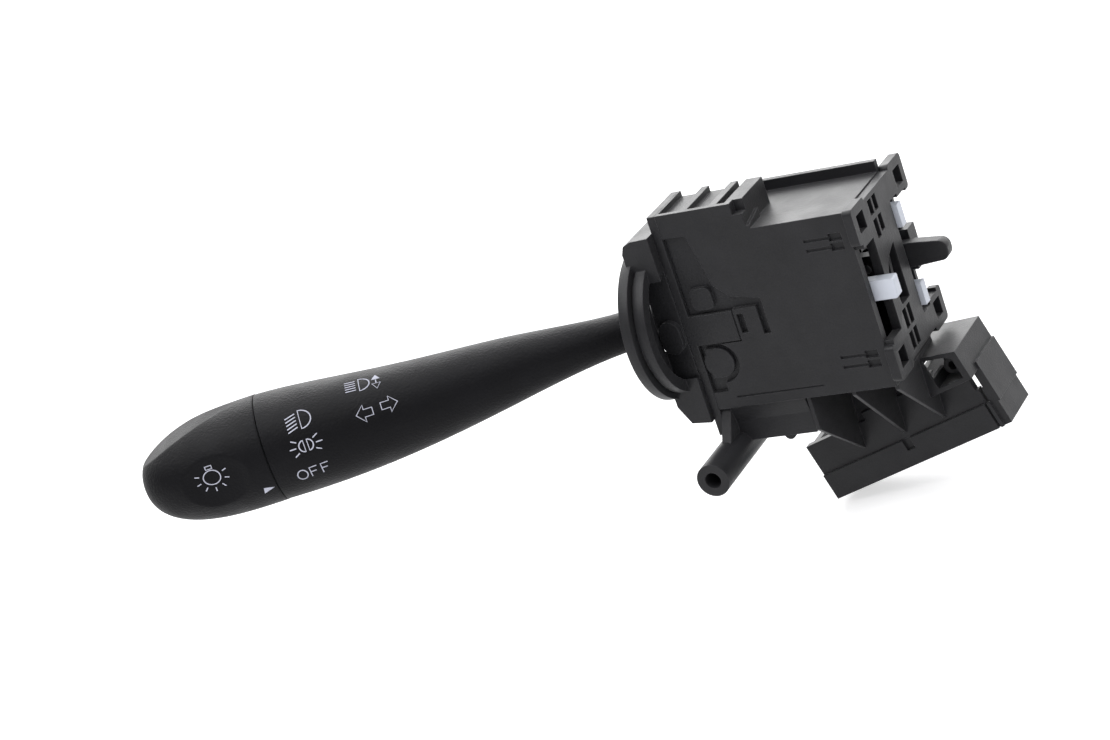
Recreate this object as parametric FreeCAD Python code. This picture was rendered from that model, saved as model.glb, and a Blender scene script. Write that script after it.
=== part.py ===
"""Steering column combination stalk switch, built as the separate pieces it is moulded and pressed from.

X runs from the lever towards the steering column, Y from the driver towards the dashboard, Z up.
Millimetres. While the pieces are made, X = 0 is the outer face of the end cover and Z = 0 is the
plane that the lever lies in; the finished pieces are then moved so that the origin is the centre
of the front end of the shroud screw boss.
"""
import FreeCAD
import Part
import math
import os

Vec = FreeCAD.Vector

# General clearances and moulding walls
run_gap = 0.05        # radial clearance of a shaft or pin that turns in its bore
slide_gap = 0.15      # side clearance of a sliding piece in its guide
open_gap = 0.30       # clearance between pieces that pass each other
wall = 2.2            # main casing wall

# Casing box
case_left = -51.3     # plane where the lever side cover meets the casing
case_right = -2.4     # plane where the end cover meets the casing
case_front = -3.5
case_rear = 24.0
case_top = 22.2
case_bottom = -24.2
front_wall = 2.6
lip_height = 2.8      # wall along the rear edge of the top
lip_wall = 1.8

# Raised rail block on the top left
rail_top = 29.3
rail_right = -28.1
rail_depth = 16.5
rail_pocket_depth = 1.5
rail_roof = 1.8
rail_pockets = ((-50.8, -44.8), (-42.8, -36.7), (-34.7, -32.4))

# Lower section under the left half of the casing
low_right = -27.9
low_bottom = -34.5
low_front = -1.5
low_wall = 2.0

# Shroud screw boss, parallel to Y
boss_x = -50.3
boss_z = -35.9
boss_front = -20.0
boss_rear = 10.0
boss_radius = 4.35
boss_hole_radius = 2.15
boss_hole_depth = 24.0

# Lever side cover and the guard in front of the lever opening
side_plate = 2.3
side_bottom = -27.3
guard_length = 9.5
guard_top = 25.0
guard_rear = 22.0
guard_wall = 1.9
dish_radius = 20.9
dish_y = 3.2
dish_z = 0.1
dish_plate = 2.7
dish_groove = 0.8
dish_ring_length = 2.8
dish_ring_radius = 19.4
dish_ring_wall = 3.0
neck_slot_y = (-4.2, 13.4)   # opening for the neck, along Y and half height
neck_slot_half = 9.2
guard_front = -6.5
screen_front = -3.6    # wall in front of the neck
screen_wall = 1.1
oval_radius = 2.9

# Snap tongue on the front face
tongue_low = -6.4
tongue_high = 1.7
tongue_end = -39.3
tongue_thick = 1.2
latch_end = -32.4

# Lever: pivot point, rake towards the driver, and stations measured along its own axis
pivot_x = -44.0
pivot_y = 14.3
rake = 28.0
neck_radius = 3.9
shell_start = 28.5
spigot_end = 46.0
split = 126.3         # seam between stalk and turning knob
knob_gap = 0.25
knob_radius = 14.15
knob_length = 34.3
knob_blunt = (3.0, 2.4)   # how full the knob's end is, along and across
crown_radius = 60.0   # the knob's top is dressed off on this radius
crown_start = 3.0     # from the seam
swell_back = 16.3     # from the seam back to the stalk's last station
stalk_profile = ((shell_start, 5.1, -0.8), (37.0, 5.45, -0.7), (47.5, 6.6, -0.6), (63.1, 8.7, -0.8),
                 (89.8, 11.6, -1.4), (split - swell_back, 13.4, -0.8))  # station, radius, sag
stalk_wall = 2.0
knob_bore = 9.4
knob_floor = 3.0
spigot_radius = 5.0
spigot_wall = 1.6
bearing_length = 12.0
dimple_length = 24.5
dimple_depth = 2.4
dimple_centre = 17.5  # from the seam towards the tip

# Bearing, core and detent of the turning knob
bearing_radius = 11.0
bearing_face = 0.4    # the bearing stands back from the seam by this much
detent_radius = 6.7
detent_nose = 1.2
pin_length = 5.0
rotor_thick = 3.0
core_radius = 11.6
core_seat = 4.6

# Lever holder and the dust shield on it
holder_arm = 13.0
holder_half_y = 2.6
holder_half_z = 2.9
dimmer_bore = 4.4     # distance of the bore's bottom from the pivot axis
shield_radius = 13.2
shield_angle = 36.0

# Travel of the moving pieces, in degrees and millimetres
turn_travel = 10.0
pull_travel = 6.0
push_travel = 5.0
knob_step = 29.0
finger_travel = 12.0
plunger_out = 0.6
plunger_in = 1.0

# Turn carrier, a frame that swings about Y at the pivot point
frame_half = 10.6     # outer half height of the frame
frame_plate = 2.6
frame_left = -49.0
frame_right = -26.0
cheek_front = 0.4
cheek_wall = 2.6
cheek_rear = 20.8
cheek_rear_wall = 2.0
trunnion_radius = 2.5
arm_half = 2.6        # half height of the arm that carries the white striker
arm_front = -0.4
arm_depth = 3.5
striker_start = -6.0
striker_end = 3.5
pin_radius = 1.9

# Detents: spring plungers and the faces they run on
plunger_radius = 1.5
plunger_length = 5.5
dimmer_tip = 14.0     # distance of the plunger tip from the pivot axis
turn_tip = 22.0
turn_plunger_y = 6.6
cam_gap = 0.15
block_left = -34.0
block_right = -24.2
block_half = 5.0
block_rear = 18.9
cam_plate_right = -17.0
cam_horn = 2.6        # height of the horns above and below the curved face

# Sliders
turn_drive = 16.0     # distance of the drive pin from the pivot axis
drive_pin_radius = 1.2
dimmer_drive = 8.0
dimmer_pin_radius = 1.0
slider_thick = 2.4
slider_half = 5.0
dimmer_half = 4.0

# Rear terminal base and its plug socket
base_plate = 2.6
base_right = -13.6
socket_left = -42.0
socket_right = -14.0
socket_low = -12.0
socket_high = 8.0
socket_depth = 13.4
socket_wall = 1.4
blade_pitch = 4.2
blade_count = 6
blade_width = 2.2
blade_thick = 0.8
blade_length = 8.7
blade_rows = (-7.0, 3.0)
screw_places = ((-25.5, 17.8), (-25.5, -19.8), (-47.0, 17.8))
screw_radius = 1.1
contact_thick = 0.4
contact_half = (1.6, 1.2)

# End cover
cover_thick = -case_right
window_half_z = 18.0
window_front = 0.0
window_rear = 28.0
window_size = 4.6
lug_size = 9.4
cover_front = -3.0
cover_low = -21.2
cover_high = 21.8
pair_half = 1.15     # half width of the paired slots

# Cancel finger
finger_x = -9.5
finger_front = 19.8
finger_rear = 23.2
finger_half = 3.1
finger_hub = 3.6
finger_tip = 10.6
pad_low = 7.6
pad_high = 13.6
pad_reach = 0.9
strip_thick = 2.4
finger_pin_radius = 1.25

# Column bracket
bracket_tilt = 16.5
bracket_y = 18.6
bracket_step_y = 13.0
bracket_plate = 2.2
bracket_depth = 15.4
bracket_left = -49.5  # the four edges, measured in the bracket's own tilted directions
bracket_right = 5.2
bracket_top = 13.0
bracket_bottom = 32.3
bracket_step = 16.2
band_top = 25.0
band_proud = 0.7
bracket_zero_z = -18.0
gusset_x = (-26.8, -14.5, -2.9)
gusset_thick = 1.0
gusset_slope = 0.92


def box(x0, x1, y0, y1, z0, z1):
    return Part.makeBox(x1 - x0, y1 - y0, z1 - z0, Vec(x0, y0, z0))


def cyl_x(y, z, radius, x0, x1):
    return Part.makeCylinder(radius, x1 - x0, Vec(x0, y, z), Vec(1, 0, 0))


def cyl_y(x, z, radius, y0, y1):
    return Part.makeCylinder(radius, y1 - y0, Vec(x, y0, z), Vec(0, 1, 0))


def cyl_z(x, y, radius, z0, z1):
    return Part.makeCylinder(radius, z1 - z0, Vec(x, y, z0), Vec(0, 0, 1))


def prism(points, direction):
    """Extrudes the closed outline through points along direction."""
    wire = Part.makePolygon(points + [points[0]])
    return Part.Face(wire).extrude(direction)


def prism_x(yz, x0, x1):
    return prism([Vec(x0, y, z) for y, z in yz], Vec(x1 - x0, 0, 0))


def prism_y(xz, y0, y1):
    return prism([Vec(x, y0, z) for x, z in xz], Vec(0, y1 - y0, 0))


def prism_z(xy, z0, z1):
    return prism([Vec(x, y, z0) for x, y in xy], Vec(0, 0, z1 - z0))


def fuse(shape, *others):
    for other in others:
        shape = shape.fuse(other)
    return shape.removeSplitter()


def cut(shape, *others):
    for other in others:
        shape = shape.cut(other)
    return shape


def round_box(x0, x1, y0, y1, z0, z1, radius, axis):
    """A box whose edges along one axis are rounded."""
    shape = box(x0, x1, y0, y1, z0, z1)
    edges = []
    for edge in shape.Edges:
        along = edge.Vertexes[1].Point - edge.Vertexes[0].Point
        along.normalize()
        if abs(abs(along.dot(axis)) - 1) < 1e-6:
            edges.append(edge)
    return shape.makeFillet(radius, edges)


def to_lever(shape):
    """Places a shape made along +X from the origin onto the lever axis."""
    shape.rotate(Vec(0, 0, 0), Vec(0, 0, 1), 180 + rake)
    shape.translate(Vec(pivot_x, pivot_y, 0))
    return shape


def spring(radius, wire, length, turns):
    """A compression spring along +X from the origin."""
    pitch = (length - wire) / turns
    helix = Part.makeHelix(pitch, pitch * turns, radius)
    half = wire / 2
    corners = [Vec(radius - half, 0, -half), Vec(radius + half, 0, -half)]
    corners += [Vec(radius + half, 0, half), Vec(radius - half, 0, half)]
    profile = Part.makePolygon(corners + [corners[0]])
    coil = Part.Wire(helix).makePipeShell([profile], True, True)
    coil.translate(Vec(0, 0, half))
    coil.rotate(Vec(0, 0, 0), Vec(0, 1, 0), 90)
    return coil


def plunger(radius, tip_x, length):
    """A round pin with a domed nose that points along +X and ends at tip_x."""
    body = Part.makeCylinder(radius, length - radius, Vec(tip_x - length, 0, 0), Vec(1, 0, 0))
    nose = Part.makeSphere(radius, Vec(tip_x - radius, 0, 0))
    return fuse(body, nose)


# Derived planes
front_in = case_front + front_wall
top_in = case_top - wall
bottom_in = case_bottom + wall
side_left = case_left - side_plate
guard_left = side_left - guard_length
dish_right = guard_left + dish_plate
ring_left = dish_right + dish_groove
base_rear = case_rear + base_plate
blade_start = case_rear + contact_thick + 0.2
plate_in = frame_half - frame_plate
shell_in = stalk_profile[-1][1] - stalk_wall
crest_turn = turn_tip + cam_gap
crest_dimmer = dimmer_tip + cam_gap
strip_front = finger_front - 1.2
strip_rear = finger_rear + 1.3
pull_dir = Vec(-math.cos(math.radians(rake)), -math.sin(math.radians(rake)), 0)

nodes = {}


def make_housing():
    shape = box(case_left, case_right, case_front, case_rear, case_bottom, case_top)
    shape = shape.cut(box(case_left - 1, case_right + 1, front_in, case_rear + 1, bottom_in, top_in))
    rail = box(case_left, rail_right, case_front, case_front + rail_depth, case_top - 0.5, rail_top)
    lip = box(-35.5, case_right, case_rear - lip_wall, case_rear, case_top - 0.5, case_top + lip_height)
    low = prism_x([(case_front + 0.4, bottom_in), (low_front, case_bottom - 4.6), (low_front, low_bottom),
                   (case_rear, low_bottom), (case_rear, bottom_in)], case_left, low_right)
    low_in = box(case_left - 1, low_right - low_wall, low_front + low_wall, case_rear + 1,
                 low_bottom + low_wall, bottom_in + 0.5)
    post = cyl_y(boss_x, boss_z, boss_radius, boss_front, boss_rear)
    web = prism_x([(case_front + 1.5, case_bottom), (-9.5, boss_z + 2.0), (-9.5, boss_z), (8.0, boss_z), (8.0, case_bottom)],
                  case_left, case_left + 2.6)
    nub = cyl_y(-36.0, low_bottom, 1.6, low_front + 1.0, case_rear - 4.0)
    shape = fuse(shape, rail, lip, low.cut(low_in), post, web, nub)
    rail_in = box(case_left - 1, rail_right - rail_roof, case_front + rail_roof, case_front + rail_depth - rail_roof,
                  top_in - 1, rail_top - rail_pocket_depth - rail_roof)
    shape = shape.cut(rail_in)
    for x0, x1 in rail_pockets:
        shape = shape.cut(box(x0, x1, case_front + 1.5, case_front + rail_depth + 1, rail_top - rail_pocket_depth,
                              rail_top + 1))
    shape = shape.cut(box(rail_right - 2.6, rail_right + 1, case_front - 1, case_front + 2.6, rail_top - 3.0, rail_top + 1))
    shape = fuse(shape, prism_x([(case_front, case_top - 0.5), (case_front, case_top + 0.8), (4.0, case_top + 2.4),
                                 (4.0, case_top - 0.5)], rail_right - 0.5, rail_right + 0.9))
    shape = shape.cut(cyl_y(boss_x, boss_z, boss_hole_radius, boss_front - 1, boss_front + boss_hole_depth))
    # front face: recess beside the flange, latch pocket and grooves
    deep = case_front + tongue_thick + 0.1
    recess = prism_y([(case_left - 1, 2.0), (-30.5, 2.0), (-30.5, 4.0), (-38.5, 5.6), (-42.0, 9.0), (-45.0, 23.0),
                      (case_left - 1, 23.0)], case_front - 1, deep)
    island = round_box(-49.1, -43.2, case_front - 2, deep + 1, 3.0, 8.8, 1.6, Vec(0, 1, 0))
    shape = shape.cut(recess.cut(island))
    shape = shape.cut(box(case_left - 1, tongue_end + open_gap, case_front - 1, deep, tongue_low - open_gap,
                          tongue_high + open_gap))
    shape = shape.cut(box(latch_end, -30.5, case_front - 1, deep, -5.6, 2.2))
    shape = shape.cut(box(-38.2, -36.4, case_front - 1, deep, -4.6, 0.6))
    arch = fuse(box(case_left - 1, -47.0, case_front - 1, deep, -19.5, tongue_low - 0.1),
                cyl_y(-47.0, -11.7, 5.4, case_front - 1, deep))
    pad = fuse(box(-49.9, -47.0, case_front - 2, deep + 1, -15.6, -7.6),
               cyl_y(-47.0, -11.6, 4.0, case_front - 2, deep + 1))
    shape = shape.cut(arch.cut(pad))
    for z, side in ((16.5, 1), (14.0, 1), (-14.8, -1), (-17.4, -1)):
        shape = shape.cut(box(-14.6, -8.0, case_front - 1, case_front + 0.5, z - 0.4, z + 0.4))
        shape = shape.cut(box(-8.0, -4.6, case_front - 1, case_front + 0.9, z - 1.0, z + 1.0))
    shape = shape.cut(box(-45.3, -21.2, case_front - 1, case_front + 0.4, -21.6, -21.1))
    # bosses and seats inside
    boss = cyl_y(pivot_x, 0, trunnion_radius + 1.7, front_in - 0.5, cheek_front - open_gap)
    shape = fuse(shape, boss)
    shape = shape.cut(cyl_y(pivot_x, 0, trunnion_radius + run_gap, front_in - 0.7, cheek_front))
    # ribs that hold the detent cam, top and bottom
    cam_left = pivot_x + crest_turn - cam_horn
    for z0, z1 in ((top_in - 3.0, top_in + 0.5), (bottom_in - 0.5, bottom_in + 3.0)):
        for x0 in (cam_left - 1.6 - slide_gap, cam_plate_right + slide_gap):
            shape = fuse(shape, box(x0, x0 + 1.6, front_in - 0.5, 11.5, z0, z1))
    for x, z in screw_places:
        near, far = (z - 2.6, top_in + 0.5) if z > 0 else (bottom_in - 0.5, z + 2.6)
        shape = fuse(shape, box(x - 2.6, x + 2.6, 12.0, case_rear, near, far))
        shape = shape.cut(cyl_y(x, z, screw_radius + run_gap, 15.0, case_rear + 1))
    return shape


def make_side_cover():
    shape = box(side_left, case_left, case_front, case_rear, side_bottom, case_top)
    shape = fuse(shape, box(side_left, case_left, case_front, case_front + rail_depth, case_top - 1, rail_top))
    shape = shape.cut(round_box(side_left - 1, case_left + 1, 1.9, 21.0, -11.6, 11.6, 4.0, Vec(1, 0, 0)))
    tongue = box(case_left - 0.5, tongue_end, case_front, case_front + tongue_thick, tongue_low, tongue_high)
    foot = box(side_left, case_left, case_front, 8.0, side_bottom - 4.0, side_bottom)
    return fuse(shape, tongue, foot)


def make_guard():
    disc = cyl_x(dish_y, dish_z, dish_radius, guard_left, dish_right)
    core = cyl_x(dish_y, dish_z, dish_ring_radius - 1.0, dish_right - 0.5, ring_left + 0.5)
    ring = cyl_x(dish_y, dish_z, dish_ring_radius, ring_left, ring_left + dish_ring_length)
    left = guard_left + 1.4
    corner = prism_y([(left, 9.0), (left, guard_top - 3.2), (left + 0.9, guard_top - 1.1), (left + 3.0, guard_top - 0.2),
                      (side_left, guard_top), (side_left, 9.0)], guard_front, 12.0)
    lower = prism_y([(left, -12.0), (left, -21.5), (left + 2.6, -26.4), (side_left, -26.8), (side_left, -12.0)],
                    guard_front + 1.5, 9.0)
    back = round_box(ring_left, side_left, -3.5, guard_rear, -24.0, guard_top - 1.5, 3.0, Vec(1, 0, 0))
    shape = fuse(disc, core, ring, corner, lower, back)
    # hollow, open towards the housing
    inner = dish_ring_radius - dish_ring_wall
    shape = shape.cut(cyl_x(dish_y, dish_z, inner, dish_right, side_left + 1))
    shape = shape.cut(box(dish_right + 1.0, side_left + 1, -1.0, guard_rear - guard_wall, 10.0,
                          guard_top - 1.5 - guard_wall))
    shape = shape.cut(box(ring_left + 1.5, side_left + 1, -1.0, guard_rear - guard_wall, -24.0 + guard_wall, -10.0))
    # screen in front of the neck and the oval boss on it
    screen = box(dish_right - 0.5, side_left, screen_front, screen_front + screen_wall, -inner - 0.5, inner + 0.5)
    middle = (dish_right + side_left) / 2
    front = screen_front - 1.6
    shape = fuse(shape, screen, cyl_y(middle, -4.2, oval_radius, front, screen_front + 0.5),
                 cyl_y(middle, -1.2, oval_radius, front, screen_front + 0.5),
                 box(middle - oval_radius, middle + oval_radius, front, screen_front + 0.5, -4.2, -1.2))
    slot = round_box(guard_left - 1, dish_right + 1, neck_slot_y[0], neck_slot_y[1], -neck_slot_half, neck_slot_half,
                     5.0, Vec(1, 0, 0))
    return shape.cut(slot.cut(box(dish_right, dish_right + 2, -20, 30, -20, 20)))


def make_end_cover():
    shape = box(case_right, 0, cover_front, 29.0, cover_low, cover_high)
    for y, z, up in ((window_front, window_half_z, 1), (window_rear, window_half_z + 0.2, 1),
                     (window_front, -window_half_z, -1), (window_rear, -window_half_z, -1)):
        half = lug_size / 2
        lug = round_box(case_right, 0, y - half, y + half, z - half, z + half, 1.2, Vec(1, 0, 0))
        shape = fuse(shape, lug)
    for y, z in ((window_front, window_half_z), (window_rear, window_half_z + 0.2), (window_front, -window_half_z),
                 (window_rear, -window_half_z)):
        hole = window_size / 2
        shape = shape.cut(box(case_right - 1, 1, y - hole, y + hole, z - hole, z + hole))
    # paired slots between the lugs
    for y, z0, z1 in ((7.4, 16.7, 20.6), (10.6, 16.7, 20.6), (7.6, 10.6, 15.4), (10.8, 11.2, 15.4),
                      (8.0, -14.0, -9.0), (11.2, -14.0, -9.0), (8.0, -19.8, -15.2), (11.2, -19.8, -15.2)):
        shape = shape.cut(box(case_right - 1, 1, y - pair_half, y + pair_half, z0, z1))
    # slot that the white striker swings in, opening of the finger and of the white slider pads
    shape = shape.cut(box(case_right - 1, 1, cover_front - 1, arm_front + arm_depth + 0.5, -12.2, 12.2))
    shape = shape.cut(box(case_right - 1, 1, finger_front - 0.8, finger_rear + 0.8, -15.2, 15.2))
    for z0, z1 in ((-14.2, -5.4), (5.4, 14.2)):
        shape = shape.cut(box(case_right, 1, finger_rear, 30, z0, z1))
    hollow = prism_x([(5.6, 0.6), (8.4, 4.6), (13.8, 6.6), (13.8, -8.0), (8.4, -8.0), (6.6, -2.8)], case_right - 1, 1)
    rib = prism_x([(11.2, 7.0), (12.6, 7.0), (10.4, -9.0), (9.0, -9.0)], case_right, case_right + 1.2)
    shape = shape.cut(hollow.cut(rib))
    # ear that holds the finger pin, and the two rails of the white slider
    ear = box(finger_x - 3.2, case_right + 0.5, 14.8, strip_front - 0.4, -3.4, 3.4)
    shape = fuse(shape, ear, cyl_y(finger_x, 0, 3.0, strip_front - 1.0, finger_front - 0.4))
    shape = shape.cut(cyl_y(finger_x, 0, finger_pin_radius, 14.0, finger_front))
    rail_x = case_right - open_gap - strip_thick - slide_gap
    for y0, y1, lip0, lip1 in ((strip_front - 1.5, strip_front - slide_gap, strip_front - 1.5, strip_front + 0.7),
                               (strip_rear + slide_gap, strip_rear + 1.5, strip_rear - 0.7, strip_rear + 1.5)):
        for z0, z1 in ((-15.2, -4.6), (4.6, 15.2)):
            shape = fuse(shape, box(rail_x - 1.2, case_right + 0.5, y0, y1, z0, z1),
                         box(rail_x - 1.2, rail_x, lip0, lip1, z0, z1))
    return shape


def make_base():
    shape = box(case_left, base_right, case_rear, base_rear, case_bottom, case_top)
    boss = cyl_y(pivot_x, 0, trunnion_radius + 1.7, cheek_rear + open_gap, case_rear + 0.5)
    shape = fuse(shape, boss)
    # guide ribs of the turn slider
    middle = pivot_x + turn_drive
    for x0 in (middle - slider_half - slide_gap - 1.4, middle + slider_half + slide_gap):
        shape = fuse(shape, box(x0, x0 + 1.4, case_rear - slider_thick, case_rear + 0.5, -9.0, 9.0))
    socket = box(socket_left, socket_right, base_rear - 0.5, base_rear + socket_depth, socket_low, socket_high)
    hollow = box(socket_left + socket_wall, socket_right - socket_wall, base_rear, base_rear + socket_depth + 1,
                 socket_low + socket_wall, socket_high - socket_wall)
    shape = fuse(shape, socket.cut(hollow))
    shape = shape.cut(cyl_y(pivot_x, 0, trunnion_radius + run_gap, cheek_rear, case_rear + 0.8))
    for x, z in contact_pads():
        shape = shape.cut(box(x - contact_half[0], x + contact_half[0], case_rear - 1, case_rear + contact_thick,
                              z - contact_half[1], z + contact_half[1]))
    for x, z in blade_places():
        shape = shape.cut(box(x - blade_width / 2, x + blade_width / 2, blade_start, base_rear + 1,
                              z - blade_thick / 2, z + blade_thick / 2))
    for x, z in screw_places:
        shape = shape.cut(cyl_y(x, z, screw_radius + 0.2, case_rear - 1, base_rear + 1))
    return shape


def contact_pads():
    middle = pivot_x + turn_drive
    return [(middle + dx, dz) for dx in (-2.6, 2.6) for dz in (-6.2, 0.0, 6.2)]


def blade_places():
    first = (socket_left + socket_right) / 2 - blade_pitch * (blade_count - 1) / 2
    return [(first + i * blade_pitch, z) for i in range(blade_count) for z in blade_rows]


def make_blades():
    solids = []
    for x, z in blade_places():
        solids.append(box(x - blade_width / 2, x + blade_width / 2, blade_start, base_rear + blade_length,
                          z - blade_thick / 2, z + blade_thick / 2))
    return solids


def make_fixed_contacts():
    return [box(x - contact_half[0], x + contact_half[0], case_rear, case_rear + contact_thick, z - contact_half[1],
                z + contact_half[1]) for x, z in contact_pads()]


def make_screws():
    solids = []
    for x, z in screw_places:
        shank = cyl_y(x, z, screw_radius, 16.5, base_rear + 0.5)
        head = cyl_y(x, z, 2.1, base_rear, base_rear + 1.6)
        screw = fuse(shank, head).cut(box(x - 1.5, x + 1.5, base_rear + 0.9, base_rear + 2, z - 0.3, z + 0.3))
        solids.append(screw.cut(box(x - 0.3, x + 0.3, base_rear + 0.9, base_rear + 2, z - 1.5, z + 1.5)))
    return solids


def tilt(shape):
    """Places a shape given in the bracket's own directions: along, Y, and minus down."""
    shape.rotate(Vec(0, 0, 0), Vec(0, 1, 0), -bracket_tilt)
    shape.translate(Vec(0, 0, bracket_zero_z))
    return shape


def slab(a0, a1, y0, y1, d0, d1):
    return tilt(box(a0, a1, y0, y1, -d1, -d0))


def make_bracket():
    left, right, low = bracket_left, bracket_right, bracket_bottom
    rear = bracket_y + bracket_depth
    plate = bracket_plate
    floor = slab(left, right - 3.0, bracket_y, bracket_y + plate, bracket_step, low)
    band = slab(left, right - 2.0, bracket_y - band_proud, bracket_y + 0.5, band_top, low)
    skirt = slab(left, right - 2.0, bracket_y, rear, low - plate, low)
    left_wall = slab(left, left + plate, bracket_y, rear, bracket_top + 4.0, low)
    nub = tilt(cyl_x(bracket_y + 5.0, -26.0, 1.6, left - 1.0, left + 1.0))
    shape = fuse(floor, band, skirt, left_wall, nub)
    # right hand box with its deep pocket, the small screw boss in it and the pad on its end
    end = prism_y([(-9.6, -5.4), (-4.1, -5.9), (right, -8.0), (right, -low), (-9.6, -low)], bracket_step_y, rear)
    end_in = prism_y([(-8.0, -7.6), (-4.1, -8.1), (right - plate, -10.0), (right - plate, -low + plate),
                      (-8.0, -low + plate)], bracket_step_y + plate, rear + 1)
    clear = prism_y([(-20.0, -bracket_step), (right + 5, -bracket_step), (right + 5, -low - 5), (-20.0, -low - 5)],
                    bracket_step_y - 1, bracket_y)
    shape = fuse(shape, tilt(end.cut(end_in).cut(clear)))
    shape = fuse(shape, slab(right - 0.5, right + 0.6, bracket_y, rear, 14.3, 25.8))
    cup = slab(-5.0, right - 0.6, bracket_step_y + 0.5, bracket_y + 3.4, 8.0, 16.0)
    pocket = prism_y([(-4.0, -6.9), (1.4, -8.2), (3.4, -9.2), (3.4, -15.0), (-4.0, -15.0)], bracket_step_y - 1,
                     bracket_y + 2.4)
    shape = fuse(shape, cup).cut(tilt(pocket))
    shape = fuse(shape, tilt(cyl_y(0.6, -12.2, 2.4, bracket_y - 1.4, bracket_y + 3.0)))
    shape = shape.cut(tilt(cyl_y(0.6, -12.2, 1.2, bracket_y - 2.0, bracket_y + 1.6)))
    shape = shape.cut(slab(1.3, 3.5, bracket_y - 2, rear + 1, 16.2, 21.0))
    for a0 in (-24.0, ):
        shape = shape.cut(slab(a0, a0 + 2.4, bracket_y - 2, bracket_y + 0.2, band_top, band_top + 3.0))
    shape = shape.cut(slab(right - 3.6, right - 2.9, bracket_y - 2, bracket_y + 0.2, band_top - 1, low + 1))
    # plate under the casing and the gussets that carry the tray
    top = box(low_right + open_gap, case_right, 1.0, 24.0, case_bottom - 2.0, case_bottom)
    for index, x in enumerate(gusset_x):
        end_z = -50.0 + 2.9 * index + 0.4
        start_z = low_bottom + 1.0 if index == 0 else case_bottom - 1.2
        web = prism_x([(case_front + 0.8, case_bottom), (bracket_y + 1.0, case_bottom), (bracket_y + 1.0, end_z),
                       (bracket_y - 0.2, end_z), (case_front + 0.8, start_z)], x - gusset_thick / 2,
                      x + gusset_thick / 2)
        top = fuse(top, web)
    back = prism_y([(low_right + open_gap, case_bottom - 1.0), (-6.0, case_bottom - 1.0), (-6.0, -41.0),
                    (low_right + open_gap, -48.0)], bracket_y + 0.7, bracket_y + plate)
    shape = fuse(shape, top, back, slab(-30.0, -8.0, bracket_y, bracket_y + plate, bracket_step - 2.2, bracket_step + 1))
    # wire passage beside the small boss
    return shape.cut(box(-8.6, 0.4, 13.6, 28.0, -31.0, -26.6))


def make_turn_cam():
    shape = box(pivot_x + crest_turn - cam_horn, cam_plate_right, 4.2, 9.6, bottom_in + 0.05, top_in - 0.05)
    shape = shape.cut(cyl_y(pivot_x, 0, crest_turn, 0, 12))
    distance = turn_tip - plunger_radius + plunger_out
    for angle in (-turn_travel, 0, turn_travel):
        turn = math.radians(angle)
        shape = shape.cut(cyl_y(pivot_x + distance * math.cos(turn), distance * math.sin(turn),
                                plunger_radius + 0.1, 0, 12))
    return shape


def make_carrier():
    low, high = cheek_front, cheek_rear
    shape = fuse(box(frame_left, frame_right, low, high, plate_in, frame_half),
                 box(frame_left, frame_right, low, high, -frame_half, -plate_in),
                 box(frame_left + 2.0, frame_right, low, low + cheek_wall, -plate_in - 0.5, plate_in + 0.5),
                 box(frame_left + 2.0, frame_right, high - cheek_rear_wall, high, -plate_in - 0.5, plate_in + 0.5),
                 box(block_left, block_right, 4.2, block_rear, -plate_in - 0.5, plate_in + 0.5),
                 box(block_left, block_left + 4, low, 5.0, -plate_in - 0.5, plate_in + 0.5))
    arm = box(block_left, striker_start, arm_front, arm_front + arm_depth, -arm_half, arm_half)
    tenon = box(striker_start - 0.5, striker_end - 5.0, arm_front + 0.9, arm_front + arm_depth - 0.9, -1.5, 1.5)
    shape = fuse(shape, arm, tenon, cyl_y(pivot_x, 0, trunnion_radius, front_in - 0.5, low + 0.5),
                 cyl_y(pivot_x, 0, trunnion_radius, high - 0.5, case_rear + 0.6),
                 cyl_y(pivot_x + turn_drive, 0, drive_pin_radius, high - 0.5, case_rear - 0.7))
    # pivot pin bores, plunger bore and the faces of the dimmer detent
    shape = shape.cut(cyl_z(pivot_x, pivot_y, pin_radius + 0.01, -frame_half - 1, frame_half + 1))
    shape = shape.cut(cyl_x(turn_plunger_y, 0, plunger_radius + run_gap, block_right - 8.6, block_right + 1))
    room = cyl_z(pivot_x, pivot_y, crest_dimmer, -3.7, 3.7).common(box(-60, 0, 9.0, 30, -20, 20))
    shape = shape.cut(room)
    distance = dimmer_tip - plunger_radius + plunger_out
    for angle in (-push_travel, 0, pull_travel):
        turn = math.radians(angle)
        shape = shape.cut(cyl_z(pivot_x + distance * math.cos(turn), pivot_y + distance * math.sin(turn),
                                plunger_radius + 0.1, -3.7, 3.7))
    # slot of the dimmer pin and the rails of the dimmer slider
    x = pivot_x + dimmer_drive
    swing = dimmer_drive * math.sin(math.radians(pull_travel)) + dimmer_pin_radius + open_gap
    shape = shape.cut(box(x - dimmer_pin_radius - open_gap, x + dimmer_pin_radius + open_gap, pivot_y - swing,
                          pivot_y + swing, -frame_half - 1, -plate_in + 1))
    under = -frame_half - open_gap - slider_thick - slide_gap
    for side in (-1, 1):
        near = x + side * (dimmer_half + slide_gap)
        far = near + side * 1.4
        lip = near - side * 0.9
        shape = fuse(shape, box(min(near, far), max(near, far), 6.5, 20.5, under - 1.2, -plate_in - 0.5),
                     box(min(lip, far), max(lip, far), 6.5, 20.5, under - 1.2, under))
    return shape


def make_striker():
    shape = box(striker_start, striker_end, arm_front, arm_front + arm_depth, -arm_half, arm_half)
    edges = [e for e in shape.Edges if e.BoundBox.XMin > striker_end - 0.01]
    shape = shape.makeFillet(0.6, edges)
    return shape.cut(box(striker_start - 1, striker_end - 5.0 + 0.05, arm_front + 0.9 - 0.02,
                         arm_front + arm_depth - 0.9 + 0.02, -1.52, 1.52))


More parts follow.
